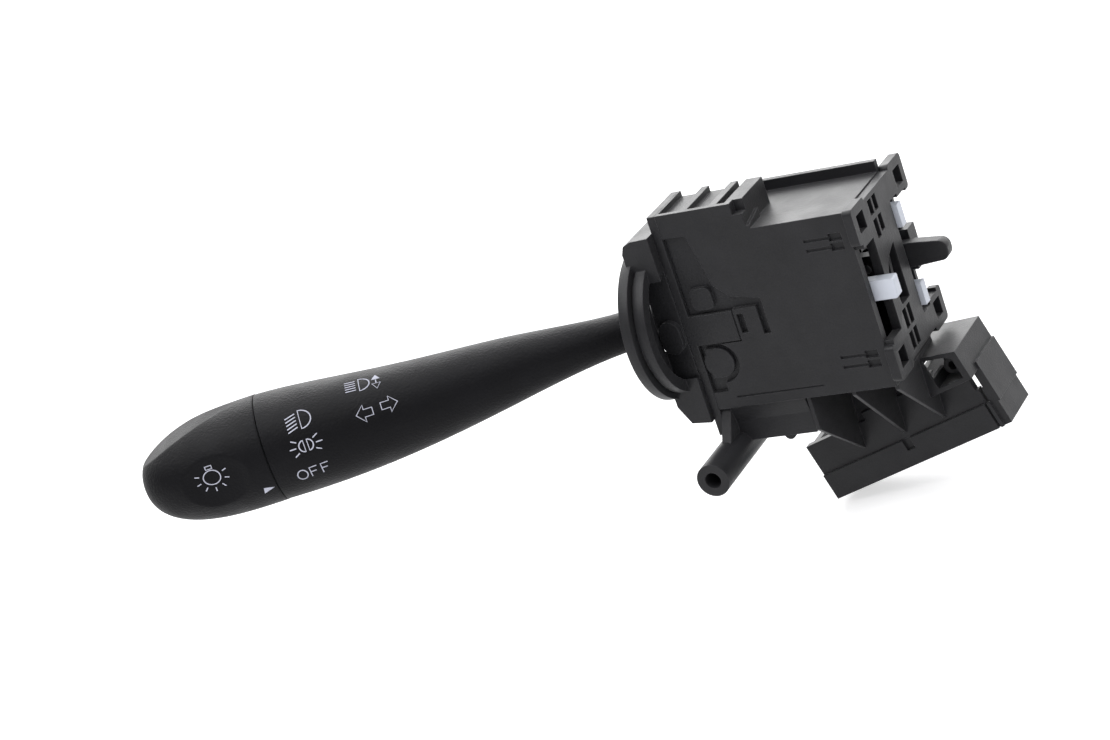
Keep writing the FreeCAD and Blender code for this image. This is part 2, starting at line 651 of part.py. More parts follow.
def make_pivot_pin():
    return cyl_z(pivot_x, pivot_y, pin_radius, -frame_half, frame_half)


def make_turn_plunger():
    shape = plunger(plunger_radius, turn_tip, plunger_length)
    shape.translate(Vec(pivot_x, turn_plunger_y, 0))
    return shape


def make_turn_spring():
    bottom = block_right - 8.6
    room = pivot_x + turn_tip - plunger_length - plunger_in - bottom
    shape = spring(plunger_radius - 0.45, 0.4, room - 0.1, 4)
    shape.translate(Vec(bottom + 0.05, turn_plunger_y, 0))
    return shape


def make_holder():
    hub = cyl_z(pivot_x, pivot_y, neck_radius, -plate_in + open_gap, plate_in - open_gap)
    neck = to_lever(cyl_x(0, 0, neck_radius, 0, spigot_end))
    collar = to_lever(cyl_x(0, 0, neck_radius + 1.0, shell_start - 1.1, shell_start - 0.1))
    arm = box(pivot_x, pivot_x + holder_arm, pivot_y - holder_half_y, pivot_y + holder_half_y,
              -holder_half_z, holder_half_z)
    pin = cyl_z(pivot_x + dimmer_drive, pivot_y, dimmer_pin_radius,
                -frame_half - open_gap - slider_thick + 0.4, -holder_half_z + 0.5)
    shape = fuse(hub, neck, collar, arm, pin)
    shape = shape.cut(cyl_z(pivot_x, pivot_y, pin_radius + run_gap, -20, 20))
    return shape.cut(cyl_x(pivot_y, 0, plunger_radius + run_gap, pivot_x + dimmer_bore, pivot_x + holder_arm + 1))


def make_dimmer_plunger():
    shape = plunger(plunger_radius, dimmer_tip, plunger_length)
    shape.translate(Vec(pivot_x, pivot_y, 0))
    return shape


def make_dimmer_spring():
    room = dimmer_tip - plunger_length - plunger_in - dimmer_bore
    shape = spring(plunger_radius - 0.45, 0.4, room - 0.1, 3)
    shape.translate(Vec(pivot_x + dimmer_bore + 0.05, pivot_y, 0))
    return shape


def make_shield():
    """Spherical cap about the pivot, which keeps dust out as the lever swings."""
    outer = Part.makeSphere(shield_radius)
    inner = Part.makeSphere(shield_radius - 1.0)
    shape = outer.cut(inner)
    start = shield_radius * math.cos(math.radians(shield_angle))
    shape = shape.common(box(start, shield_radius + 1, -shield_radius, shield_radius, -shield_radius, shield_radius))
    collar = cyl_x(0, 0, neck_radius + 0.8, shield_radius - 3.0, shield_radius + 0.3)
    shape = fuse(shape, collar).cut(cyl_x(0, 0, neck_radius + 0.02, 0, 40))
    return to_lever(shape)


def loft(stations):
    """A smooth round solid through circles given as station, radius and sag."""
    wires = []
    for x, radius, sag in stations:
        circle = Part.makeCircle(radius, Vec(x, 0, sag), Vec(1, 0, 0))
        wires.append(Part.Wire(circle))
    return Part.makeLoft(wires, True, False)


def make_shell():
    outer = loft(stalk_profile + ((split - knob_gap / 2, knob_radius - 0.1, 0.0),))
    inner = [(spigot_end + 1.5, neck_radius + 0.3, stalk_profile[2][2])]
    inner += [(x, radius - stalk_wall, sag) for x, radius, sag in stalk_profile[3:]]
    seat_start = split - bearing_length - rotor_thick - 4.0
    seat = cyl_x(0, 0, bearing_radius, seat_start, split + 1)
    room = cyl_x(0, 0, bearing_radius - 0.6, stalk_profile[-1][0] - 3.0, seat_start + 1)
    shape = cut(outer, loft(inner), seat, room, cyl_x(0, 0, neck_radius + 0.02, shell_start - 1, spigot_end + 2.0))
    return to_lever(shape)


def make_bearing():
    shape = cyl_x(0, 0, bearing_radius - 0.02, split - bearing_length, split - bearing_face)
    shape = shape.cut(cyl_x(0, 0, spigot_radius + run_gap, split - bearing_length - 1, split + 1))
    centre = split - bearing_face + cam_gap + detent_nose - plunger_out
    for index in range(3):
        turn = math.radians(index * knob_step)
        ball = Part.makeSphere(detent_nose + 0.1, Vec(centre, detent_radius * math.cos(turn),
                                                      detent_radius * math.sin(turn)))
        shape = shape.cut(ball)
    return to_lever(shape)


def make_knob():
    start = split + knob_gap / 2
    points = []
    for step in range(0, 13):
        turn = math.radians(step * 7.5)
        points.append(Vec(start + knob_length * math.sin(turn) ** (2 / knob_blunt[0]),
                          knob_radius * math.cos(turn) ** (2 / knob_blunt[1]) if step < 12 else 0.0, 0))
    curve = Part.BSplineCurve()
    curve.interpolate(points)
    edges = [curve.toShape(), Part.makeLine(points[-1], Vec(start, 0, 0)), Part.makeLine(Vec(start, 0, 0), points[0])]
    shape = Part.Face(Part.Wire(edges)).revolve(Vec(0, 0, 0), Vec(1, 0, 0), 360)
    crown = Part.makeCylinder(crown_radius, 60, Vec(split + crown_start, -30, knob_radius - crown_radius), Vec(0, 1, 0))
    shape = shape.common(crown)
    sweep = ((dimple_length / 2) ** 2 + dimple_depth ** 2) / (2 * dimple_depth)
    shape = shape.cut(cyl_z(split + dimple_centre, knob_radius - dimple_depth + sweep, sweep, -30, 30))
    shape = shape.cut(cyl_x(0, 0, core_radius + 0.02, split - 1, split + core_seat))
    shape = shape.cut(cyl_x(0, 0, knob_bore, split, split + 11.0))
    shape = shape.cut(cyl_x(0, 0, knob_bore - 2.2, split, split + 21.0))
    return to_lever(shape)


def make_core():
    disc = cyl_x(0, 0, core_radius, split + 0.2, split + core_seat)
    spigot = cyl_x(0, 0, spigot_radius, split - bearing_length - rotor_thick - 0.8, split + 1)
    tube = cyl_x(detent_radius, 0, detent_nose + 1.3, split + 1, split + 9.5)
    shape = fuse(disc, spigot, tube)
    shape = shape.cut(cyl_x(0, 0, spigot_radius - spigot_wall, split - 30, split + 10))
    shape = shape.cut(cyl_x(detent_radius, 0, detent_nose + run_gap, split, split + 8.5))
    return to_lever(shape)


def make_knob_pin():
    nose = split - bearing_face + cam_gap
    shape = plunger(detent_nose, 0, pin_length)
    shape.rotate(Vec(0, 0, 0), Vec(0, 0, 1), 180)
    shape.translate(Vec(nose, detent_radius, 0))
    return to_lever(shape)


def make_knob_spring():
    start = split - bearing_face + cam_gap + pin_length + plunger_in
    room = split + 8.5 - start
    shape = spring(detent_nose - 0.4, 0.35, room - 0.1, 3)
    shape.translate(Vec(start + 0.05, detent_radius, 0))
    return to_lever(shape)


def make_rotor():
    end = split - bearing_length - 0.8
    shape = cyl_x(0, 0, 8.6, end - rotor_thick, end)
    shape = shape.cut(cyl_x(0, 0, spigot_radius + 0.02, end - rotor_thick - 1, end + 1))
    return to_lever(shape.cut(box(end - 0.6, end + 1, -1.0, 1.0, 5.6, 8.0)))


def make_rotor_contact():
    end = split - bearing_length - 0.8
    return to_lever(box(end - 0.6, end + 0.15, -1.0, 1.0, 5.6, 8.0))


def make_contact_plate():
    end = split - bearing_length
    shape = cyl_x(0, 0, 9.4, end - 0.5, end)
    return to_lever(shape.cut(cyl_x(0, 0, spigot_radius + 0.4, end - 1, end + 1)))


def make_rotor_clip():
    end = split - bearing_length - 0.8 - rotor_thick
    shape = cyl_x(0, 0, spigot_radius + 1.0, end - 1.0, end)
    stem = cyl_x(0, 0, spigot_radius - spigot_wall - 0.02, end - 0.5, end + 5.0)
    return to_lever(fuse(shape, stem))


def make_turn_slider():
    middle = pivot_x + turn_drive
    shape = box(middle - slider_half, middle + slider_half, case_rear - open_gap - slider_thick,
                case_rear - open_gap, -slider_half, slider_half)
    return shape.cut(box(middle - drive_pin_radius - open_gap, middle + drive_pin_radius + open_gap, 10, 30,
                         -drive_pin_radius - 0.06, drive_pin_radius + 0.06))


def make_dimmer_slider():
    x = pivot_x + dimmer_drive
    top = -frame_half - open_gap
    shape = box(x - dimmer_half, x + dimmer_half, pivot_y - dimmer_half, pivot_y + dimmer_half, top - slider_thick, top)
    return shape.cut(box(x - dimmer_pin_radius - open_gap, x + dimmer_pin_radius + open_gap,
                         pivot_y - dimmer_pin_radius - 0.06, pivot_y + dimmer_pin_radius + 0.06, -30, 0))


def make_finger():
    hub = cyl_y(finger_x, 0, finger_hub, finger_front, finger_rear)
    blade = prism_y([(finger_x, -finger_half), (2.0, -finger_half), (finger_tip, -finger_half + 0.7),
                     (finger_tip, finger_half - 0.5), (2.0, finger_half + 0.2), (finger_x, finger_half)],
                    finger_front, finger_rear)
    blade = blade.makeFillet(finger_half - 0.9, [e for e in blade.Edges if e.BoundBox.XMin > finger_tip - 0.01
                                                 and e.BoundBox.ZLength < 0.01])
    return fuse(hub, blade).cut(cyl_y(finger_x, 0, finger_pin_radius + run_gap, 10, 30))


def make_finger_pin():
    return cyl_y(finger_x, 0, finger_pin_radius, 14.8, finger_rear + 0.3)


def make_strip():
    right = case_right - open_gap
    shape = box(right - strip_thick, right, strip_front, strip_rear, -pad_high - 0.6, pad_high + 0.6)
    shape = shape.cut(box(right - 10, right + 1, finger_front - open_gap, finger_rear + open_gap,
                          -finger_half - 0.5, finger_half + 0.5))
    for side in (-1, 1):
        shape = fuse(shape, box(right - 0.5, pad_reach, finger_front + 0.3, finger_rear - 0.3,
                                min(side * pad_low, side * pad_high), max(side * pad_low, side * pad_high)))
    return shape


nodes["housing"] = [make_housing()]
nodes["lever_side_cover"] = [make_side_cover()]
nodes["lever_guard"] = [make_guard()]
nodes["end_cover"] = [make_end_cover()]
nodes["terminal_base"] = [make_base()]
nodes["connector_terminals"] = make_blades()
nodes["fixed_contacts"] = make_fixed_contacts()
nodes["base_screws"] = make_screws()
nodes["column_bracket"] = [make_bracket()]
nodes["turn_detent_cam"] = [make_turn_cam()]
nodes["turn_carrier"] = [make_carrier()]
nodes["white_striker"] = [make_striker()]
nodes["lever_pivot_pin"] = [make_pivot_pin()]
nodes["turn_plunger"] = [make_turn_plunger()]
nodes["turn_plunger_spring"] = [make_turn_spring()]
nodes["lever_holder"] = [make_holder()]
nodes["dimmer_plunger"] = [make_dimmer_plunger()]
nodes["dimmer_plunger_spring"] = [make_dimmer_spring()]
nodes["dust_shield"] = [make_shield()]
nodes["stalk_shell"] = [make_shell()]
nodes["knob_bearing"] = [make_bearing()]
nodes["light_contact_plate"] = [make_contact_plate()]
nodes["light_knob"] = [make_knob()]
nodes["knob_core"] = [make_core()]
nodes["knob_detent_pin"] = [make_knob_pin()]
nodes["knob_detent_spring"] = [make_knob_spring()]
nodes["light_rotor"] = [make_rotor()]
nodes["rotor_contact"] = [make_rotor_contact()]
nodes["rotor_clip"] = [make_rotor_clip()]
nodes["turn_slider"] = [make_turn_slider()]
nodes["dimmer_slider"] = [make_dimmer_slider()]
nodes["cancel_finger"] = [make_finger()]
nodes["finger_pin"] = [make_finger_pin()]
nodes["cancel_slider"] = [make_strip()]

origin = Vec(-boss_x, -boss_front, -boss_z)
os.makedirs("parts", exist_ok=True)
for name, solids in nodes.items():
    parts = []
    for solid in solids:
        solid.translate(origin)
        parts += solid.Solids
    shape = parts[0] if len(parts) == 1 else Part.makeCompound(parts)
    shape.exportStep("parts/" + name + ".step")
    print(name, len(parts), shape.isValid(), round(shape.Volume, 1))
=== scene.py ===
"""Look of a steering column combination stalk switch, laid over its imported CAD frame.

Laid out as a Blender add-on and run as a script: an operator for each group of pieces, one for the
stage, and a panel that lists them. Lengths are in metres, in the frame of the CAD, except where a
comment says millimetres.
"""

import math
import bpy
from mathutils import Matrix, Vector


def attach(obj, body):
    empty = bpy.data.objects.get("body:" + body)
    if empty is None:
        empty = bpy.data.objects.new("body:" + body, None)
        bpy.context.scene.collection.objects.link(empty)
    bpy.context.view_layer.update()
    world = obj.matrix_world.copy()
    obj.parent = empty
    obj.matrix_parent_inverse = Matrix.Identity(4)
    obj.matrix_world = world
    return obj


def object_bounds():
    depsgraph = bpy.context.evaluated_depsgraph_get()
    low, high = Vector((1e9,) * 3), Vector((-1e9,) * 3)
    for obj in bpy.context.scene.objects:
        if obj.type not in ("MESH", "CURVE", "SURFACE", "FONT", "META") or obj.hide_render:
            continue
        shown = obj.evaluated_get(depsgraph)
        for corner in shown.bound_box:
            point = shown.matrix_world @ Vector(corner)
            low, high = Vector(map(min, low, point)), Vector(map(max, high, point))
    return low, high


bl_info = {
    "name": "Combination stalk switch",
    "version": (1, 0, 0),
    "blender": (4, 5, 0),
    "location": "3D View > Sidebar > Stalk switch",
    "description": "Dresses the CAD of a column stalk switch and sets its stage",
    "category": "Object",
}

from collections import namedtuple

import bmesh
import bpy
from bpy.props import FloatProperty, FloatVectorProperty, PointerProperty
from bpy.types import NodeSocket, Operator, Panel, PropertyGroup
from mathutils import Matrix, Vector
from mathutils.bvhtree import BVHTree

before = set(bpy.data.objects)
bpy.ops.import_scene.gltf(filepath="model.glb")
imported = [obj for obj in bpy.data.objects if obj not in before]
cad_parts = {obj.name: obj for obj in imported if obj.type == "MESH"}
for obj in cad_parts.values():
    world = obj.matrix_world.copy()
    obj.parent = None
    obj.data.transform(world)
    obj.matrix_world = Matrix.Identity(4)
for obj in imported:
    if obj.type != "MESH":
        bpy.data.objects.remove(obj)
cad_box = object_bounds()

MM = 0.001
WHITE = (1.0, 1.0, 1.0, 1.0)

# The lever as the CAD has it: its pivot, its rake towards the driver and the seam of its knob
PIVOT = Vector((6.3, 34.3, 35.9)) * MM
RAKE = math.radians(28.0)
ALONG = Vector((-math.cos(RAKE), -math.sin(RAKE), 0.0))
DRIVER = Vector((math.sin(RAKE), -math.cos(RAKE), 0.0))
UP = Vector((0.0, 0.0, 1.0))
SPLIT = 126.3 * MM
KNOB_RADIUS = 14.1 * MM

# The view of the photograph
CAMERA_RIGHT = (0.855280, 0.407656, -0.319864)
CAMERA_UP = (0.123477, 0.439174, 0.889876)
CAMERA_BACK = (0.503240, -0.800589, 0.325280)
CAMERA_PLACE = (0.319742, -0.560598, 0.263240)
CAMERA_LENS = 90.81
CAMERA_SENSOR = 36.0
CAMERA_REACH = 20.0

# CAD nodes by what they are made of
BLACK_NODES = (
    "housing", "lever_side_cover", "lever_guard", "end_cover", "terminal_base", "column_bracket",
    "turn_detent_cam", "turn_carrier", "lever_holder", "dust_shield", "knob_bearing", "knob_core",
    "rotor_clip", "cancel_finger")
NYLON_NODES = (
    "white_striker", "turn_plunger", "dimmer_plunger", "knob_detent_pin", "light_rotor",
    "turn_slider", "dimmer_slider", "cancel_slider")
STEEL_NODES = (
    "base_screws", "lever_pivot_pin", "turn_plunger_spring", "dimmer_plunger_spring",
    "knob_detent_spring", "finger_pin")
BRASS_NODES = ("connector_terminals", "fixed_contacts", "light_contact_plate", "rotor_contact")

# Nodes whose edges show, and are rounded as a mould leaves them
OUTER_NODES = (
    "housing", "lever_side_cover", "lever_guard", "end_cover", "column_bracket", "cancel_finger")
WELD_REACH = 0.000002                 # corners closer than this become one
FLAT_ANGLE = math.radians(0.5)        # faces that turn less than this become one
SHARP_ANGLE = math.radians(40.0)      # edges that turn more than this are rounded
ROUND_SEGMENTS = 2

# Grain of a surface: scale of its noise, strength and depth of its bumps
Grain = namedtuple("Grain", "scale strength depth")
CASING_GRAIN = Grain(2400.0, 0.28, 0.0002)
STALK_GRAIN = Grain(1700.0, 0.55, 0.0003)
NYLON_GRAIN = Grain(1800.0, 0.08, 0.0001)
METAL_GRAIN = Grain(900.0, 0.12, 0.0001)
INK_GRAIN = Grain(3000.0, 0.1, 0.0001)
GRAIN_DETAIL = 2.0
EVEN = (1.0, 1.0, 1.0)                # a pattern that isn't drawn out along any axis
DRAWN_Y = (1.0, 0.15, 1.0)
DRAWN_Z = (1.0, 1.0, 0.15)

# Patches of colour and of gloss: scale of the noise, and the part of its range that shows
COLOUR_PATCHES = 90.0
COLOUR_RANGE = (0.35, 0.65)
GLOSS_PATCHES = 160.0
GLOSS_RANGE = (0.3, 0.7)
GLOSS_SPREAD = 0.05
PATCH_DETAIL = 3.0

# Edges: how far the softened normal agrees with the flat one where the lighter edge colour, part
# wear and part painted highlight, starts and is full
EDGE_SAMPLES = 4
EDGE_WEAR_AND_HIGHLIGHT_RANGE = (0.995, 0.86)

SHEEN_ROUGHNESS = 0.4
STEEL_COLOUR = (0.56, 0.56, 0.58)
BRASS_COLOUR = (0.72, 0.55, 0.26)

# Sockets of the Mix node, by kind of value: first and second input, and output
MIX_SHARE = 0
MIX_SOCKETS = {"FLOAT": (2, 3, 0), "RGBA": (6, 7, 2)}

# The rear cover's tongue, in millimetres: its low and its high corner, and its rounding
TONGUE = ((34.8, 43.6, 12.6), (41.5, 45.2, 25.0))
TONGUE_ROUND = 0.3

# The ink of the signs, in millimetres
INK_HALF = 0.16                       # half the width of a stroke
FILL_HALF = 0.2                       # half the thickness of a filled plate
INK_LIFT = 0.02                       # how far the ink's middle lies over the plastic
INK_LONGEST = 0.7                     # edges longer than this are split, to follow the curve
INK_SPLITS = 3
INK_RISE = 0.35                       # the share of its thickness that pressing flat leaves
SAME_POINT = 0.001                    # ends nearer than this make a closed stroke
SIGHT = 50.0                          # how far from the lever's axis the plastic is looked for

# The beams of a headlamp sign, in millimetres: their rows, and how far from its flat side they
# start and end
BEAM_ROWS = (-1.9, -0.95, 0.0, 0.95, 1.9)
BEAM_START = 0.9
BEAM_END = 3.6

# The surroundings as reflections see them: a white tent round this direction, and darker away
# from it
TENT_WAY = (-0.2, 0.55, 0.81)
TENT_RANGE = (0.25, 0.8)
TENT_DARK = 0.45

# name: (place, aim, size, property that holds its power, share of that power)
LAMPS = {
    "Key": ((-0.20, -0.45, 0.75), (0.0, 0.0, 0.03), 0.55, "key_power", 1.0),
    "Fill": ((0.60, -0.20, 0.45), (0.0, 0.0, 0.03), 0.50, "key_power", 0.35),
    "Rear": ((-0.28, 0.58, 0.55), (0.0, 0.03, 0.04), 0.60, "rear_power", 1.0),
}

FLOOR_HALF = 3.0
FLOOR_DROP = 0.002                    # how far the floor lies under the switch
FLOOR_COLOUR = (0.78, 0.78, 0.79, 1.0)
FLOOR_ROUGHNESS = 0.9
FLOOR_GLOW = 0.55                     # added where the floor is seen, so that it meets the white


def arc(centre_u, centre_v, radius_u, radius_v, start, end, steps=12):
    """Points on an oval from start to end, in degrees."""
    turns = [math.radians(start + (end - start) * step / steps) for step in range(steps + 1)]
    return [(centre_u + radius_u * math.cos(turn), centre_v + radius_v * math.sin(turn))
            for turn in turns]


def rays(count, inner, outer, start, end):
    """Short straight strokes around a lamp."""
    turns = [math.radians(start + (end - start) * step / (count - 1)) for step in range(count)]
    return [[(reach * math.cos(turn), reach * math.sin(turn)) for reach in (inner, outer)]
            for turn in turns]


def lamp(round_u, flat_u, half, slant):
    """A headlamp: a closed half round and five beams on its flat side."""
    shell = arc(flat_u, 0.0, round_u - flat_u, half, -90.0, 90.0)
    beams = [[(flat_u - BEAM_START, row), (flat_u - BEAM_END, row - slant)] for row in BEAM_ROWS]
    return [shell + [shell[0]]] + beams


def block_arrow(side):
    """An outlined arrow that points along side, plus or minus u."""
    points = [(2.2, 0.0), (0.1, 2.6), (0.1, 1.15), (-2.1, 1.15),
              (-2.1, -1.15), (0.1, -1.15), (0.1, -2.6), (2.2, 0.0)]
    return [[(side * u, v) for u, v in points]]


def side_lamps():
    """Two half round lamps back to back, with rays."""
    strokes = []
    for side in (-1, 1):
        shell = [(side * u, v) for u, v in arc(0.5, 0.0, 1.35, 1.5, -90.0, 90.0)]
        strokes.append(shell + [shell[0]])
        for lift in (-38.0, 0.0, 38.0):
            turn = math.radians(lift)
            strokes.append([(side * (0.5 + reach_u * math.cos(turn)), reach_v * math.sin(turn))
                            for reach_u, reach_v in ((2.1, 2.3), (3.8, 3.5))])
    return strokes


def off_word():
    """The word for off, in plain strokes."""
    word = [arc(-3.0, 0.0, 1.3, 1.5, 0.0, 360.0, 20)]
    for left in (-0.85, 2.15):
        word += [[(left, -1.5), (left, 1.5), (left + 1.95, 1.5)], [(left, 0.1), (left + 1.55, 0.1)]]
    return word


def pull_push():
    """An open arrow towards the driver, with the broken line between the two arrows."""
    return [[(-1.1, -0.9), (1.1, -0.9), (0.0, -3.1), (-1.1, -0.9)],
            [(0.0, 0.7), (0.0, 0.1)], [(0.0, -0.1), (0.0, -0.7)]]


def thumb_lamp():
    """A bulb with its cap on top and rays below."""
    bulb = arc(0.0, 0.0, 2.25, 2.25, 0.0, 360.0, 28)
    cap = [(-0.85, 2.65), (0.85, 2.65), (0.85, 3.6), (-0.85, 3.6), (-0.85, 2.65)]
    return [bulb, cap] + rays(7, 3.3, 4.5, -200.0, 20.0)


# Signs printed on the lever, in millimetres: u towards the casing, v up
# name: (node, distance from the seam towards the casing, degrees below the driver's side,
#        strokes, filled outlines)
SIGNS = {
    "sign_side_lamps": ("stalk_shell", 10.6, -8.3, side_lamps(), []),
    "sign_off": ("stalk_shell", 10.0, 22.6, off_word(), []),
    "sign_dipped_beam": ("stalk_shell", 10.7, -37.3, lamp(3.1, 0.2, 2.6, 0.9), []),
    "sign_main_beam": ("stalk_shell", 27.0, -62.5, lamp(3.0, 0.3, 2.6, 0.0), []),
    "sign_pull_push": ("stalk_shell", 31.7, -61.5, pull_push(),
                       [[(-1.1, 0.9), (1.1, 0.9), (0.0, 3.1)]]),
    "sign_turn_left": ("stalk_shell", 27.0, -21.3, block_arrow(-1.0), []),
    "sign_turn_right": ("stalk_shell", 33.5, -23.2, block_arrow(1.0), []),
    "sign_pointer": ("light_knob", -2.4, 26.7, [], [[(-1.5, -0.9), (1.5, 0.3), (-1.1, 1.0)]]),
    "sign_light": ("light_knob", -15.0, -5.8, thumb_lamp(), []),
}


class SwitchFinish(PropertyGroup):
    """Colours of the plastics and the print, and the rounding of the edges."""

    casing_colour: FloatVectorProperty(
        name="Casing", description="Colour of the black casing plastic", subtype="COLOR",
        size=3, min=0.0, max=1.0, default=(0.0092, 0.0092, 0.0108))
    stalk_colour: FloatVectorProperty(
        name="Stalk", description="Colour of the grained stalk plastic", subtype="COLOR",
        size=3, min=0.0, max=1.0, default=(0.0038, 0.0038, 0.0048))
    nylon_colour: FloatVectorProperty(
        name="Nylon", description="Colour of the white nylon pieces", subtype="COLOR",
        size=3, min=0.0, max=1.0, default=(0.56, 0.59, 0.66))
    print_colour: FloatVectorProperty(
        name="Print", description="Colour of the printed symbols", subtype="COLOR",
        size=3, min=0.0, max=1.0, default=(0.50, 0.51, 0.60))
    edge_round: FloatProperty(
        name="Edge rounding", description="Rounding of the moulded edges", subtype="DISTANCE",
        unit="LENGTH", min=0.0, max=0.002, default=0.00022)


class SwitchStage(PropertyGroup):
    """Strength of the lamps and the surroundings."""

    key_power: FloatProperty(
        name="Key light", description="Power of the large lamp above", subtype="POWER",
        unit="POWER", min=0.0, default=4.2)
    world_strength: FloatProperty(
        name="Surround", description="Strength of the pale surroundings", min=0.0, default=0.62)
    tent_strength: FloatProperty(
        name="Tent", description="Strength of the white tent, as reflections see it",
        min=0.0, default=4.2)
    rear_power: FloatProperty(
        name="Rear light", description="Power of the soft lamp behind", subtype="POWER",
        unit="POWER", min=0.0, default=3.0)


def put(tree, value, socket):
    """Gives a socket another node's output or a plain value."""
    if isinstance(value, NodeSocket):
        tree.links.new(value, socket)
    else:
        socket.default_value = value


def ranged(tree, value, low, high, to_low, to_high):
    """A value carried from one range to another and held inside it."""
    node = tree.nodes.new("ShaderNodeMapRange")
    for name, given in (("Value", value), ("From Min", low), ("From Max", high),
                        ("To Min", to_low), ("To Max", to_high)):
        put(tree, given, node.inputs[name])
    return node.outputs["Result"]


def mixed(tree, share, first, second, kind="FLOAT"):
    """The first value where share is 0 and the second where it is 1."""
    node = tree.nodes.new("ShaderNodeMix")
    node.data_type = kind
    first_socket, second_socket, result = MIX_SOCKETS[kind]
    put(tree, share, node.inputs[MIX_SHARE])
    put(tree, first, node.inputs[first_socket])
    put(tree, second, node.inputs[second_socket])
    return node.outputs[result]


def agreement(tree, first, second):
    """1 where two directions are the same, 0 where they are square to each other."""
    node = tree.nodes.new("ShaderNodeVectorMath")
    node.operation = "DOT_PRODUCT"
    put(tree, first, node.inputs[0])
    put(tree, second, node.inputs[1])
    return node.outputs["Value"]


def noise(tree, scale, detail=PATCH_DETAIL, stretch=EVEN):
    """Noise on Object coordinates, drawn out along an axis where stretch is small."""
    place = tree.nodes.new("ShaderNodeTexCoord")
    mapping = tree.nodes.new("ShaderNodeMapping")
    node = tree.nodes.new("ShaderNodeTexNoise")
    put(tree, place.outputs["Object"], mapping.inputs["Vector"])
    put(tree, stretch, mapping.inputs["Scale"])
    put(tree, mapping.outputs["Vector"], node.inputs["Vector"])
    put(tree, scale, node.inputs["Scale"])
    put(tree, detail, node.inputs["Detail"])
    return node.outputs["Fac"]


def edge_mask(tree, radius):
    """1 along the edges and 0 on the faces, with the softened normal that shows them."""
    soft = tree.nodes.new("ShaderNodeBevel")
    soft.samples = EDGE_SAMPLES
    put(tree, radius, soft.inputs["Radius"])
    flat = tree.nodes.new("ShaderNodeNewGeometry")
    same = agreement(tree, soft.outputs["Normal"], flat.outputs["Normal"])
    return ranged(tree, same, *EDGE_WEAR_AND_HIGHLIGHT_RANGE, 0.0, 1.0), soft.outputs["Normal"]


def tinted(colour, share):
    """A colour made darker or lighter, with its alpha."""
    return tuple(min(1.0, channel * share) for channel in colour) + (1.0,)


def finish(name, colour, grain, roughness, edge_wear_and_highlight, metallic=0.0, specular=0.5, patch=0.12,
           edge=0.0003, stretch=EVEN, sheen=0.0):
    """A material with grain, uneven gloss and colour, and edges lighter as wear and painted
    highlight.

    patch is the share by which the colour varies, and edge the width of the lighter edges.
    """
    material = bpy.data.materials.new(name)
    material.use_nodes = True
    tree = material.node_tree
    # Edges get a lighter colour: part wear, part painted highlight where edges catch the light
    mask, soft = edge_mask(tree, edge)
    blotch = ranged(tree, noise(tree, COLOUR_PATCHES), *COLOUR_RANGE, 0.0, 1.0)
    base = mixed(tree, blotch, tinted(colour, 1.0 - patch), tinted(colour, 1.0 + patch), "RGBA")
    gloss = ranged(tree, noise(tree, GLOSS_PATCHES), *GLOSS_RANGE,
                   roughness - GLOSS_SPREAD, roughness + GLOSS_SPREAD)
    bump = tree.nodes.new("ShaderNodeBump")
    put(tree, grain.strength, bump.inputs["Strength"])
    put(tree, grain.depth, bump.inputs["Distance"])
    put(tree, noise(tree, grain.scale, GRAIN_DETAIL, stretch), bump.inputs["Height"])
    put(tree, soft, bump.inputs["Normal"])
    shader = tree.nodes["Principled BSDF"]
    for socket, value in (
            ("Base Color", mixed(tree, mask, base, tinted(colour, edge_wear_and_highlight), "RGBA")),
            ("Metallic", metallic),
            ("Roughness", gloss),
            ("Normal", bump.outputs["Normal"]),
            ("Specular IOR Level", specular),
            ("Sheen Weight", sheen),
            ("Sheen Roughness", SHEEN_ROUGHNESS)):
        put(tree, value, shader.inputs[socket])
    material.diffuse_color = (*colour, 1.0)
    return material


def seen_directly(tree):
    """1 for rays of the camera, a reflection or a clear piece, 0 for light that falls on it."""
    path = tree.nodes.new("ShaderNodeLightPath")
    value = path.outputs["Is Camera Ray"]
    for name in ("Is Glossy Ray", "Is Transmission Ray"):
        either = tree.nodes.new("ShaderNodeMath")
        either.operation = "MAXIMUM"
        put(tree, value, either.inputs[0])
        put(tree, path.outputs[name], either.inputs[1])
        value = either.outputs[0]
    return value


def dress(nodes, material, rounding=0.0):
    """Gives CAD nodes their material and, to the outer ones, softened edges."""
    for node in nodes:
        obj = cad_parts[node]
        obj.data.materials.clear()
        obj.data.materials.append(material)
        if rounding and node in OUTER_NODES:
            weld = obj.modifiers.new("Weld", "WELD")
            weld.merge_threshold = WELD_REACH
            plain = obj.modifiers.new("Flat faces", "DECIMATE")
            plain.decimate_type = "DISSOLVE"
            plain.angle_limit = FLAT_ANGLE
            bevel = obj.modifiers.new("Round", "BEVEL")
            bevel.width = rounding
            bevel.segments = ROUND_SEGMENTS
            bevel.limit_method = "ANGLE"
            bevel.angle_limit = SHARP_ANGLE
            bevel.use_clamp_overlap = True


def add_object(name, mesh, material):
    """Puts a finished mesh into the scene with its material."""
    mesh.materials.append(material)
    obj = bpy.data.objects.new(name, mesh)
    bpy.context.scene.collection.objects.link(obj)
    return obj


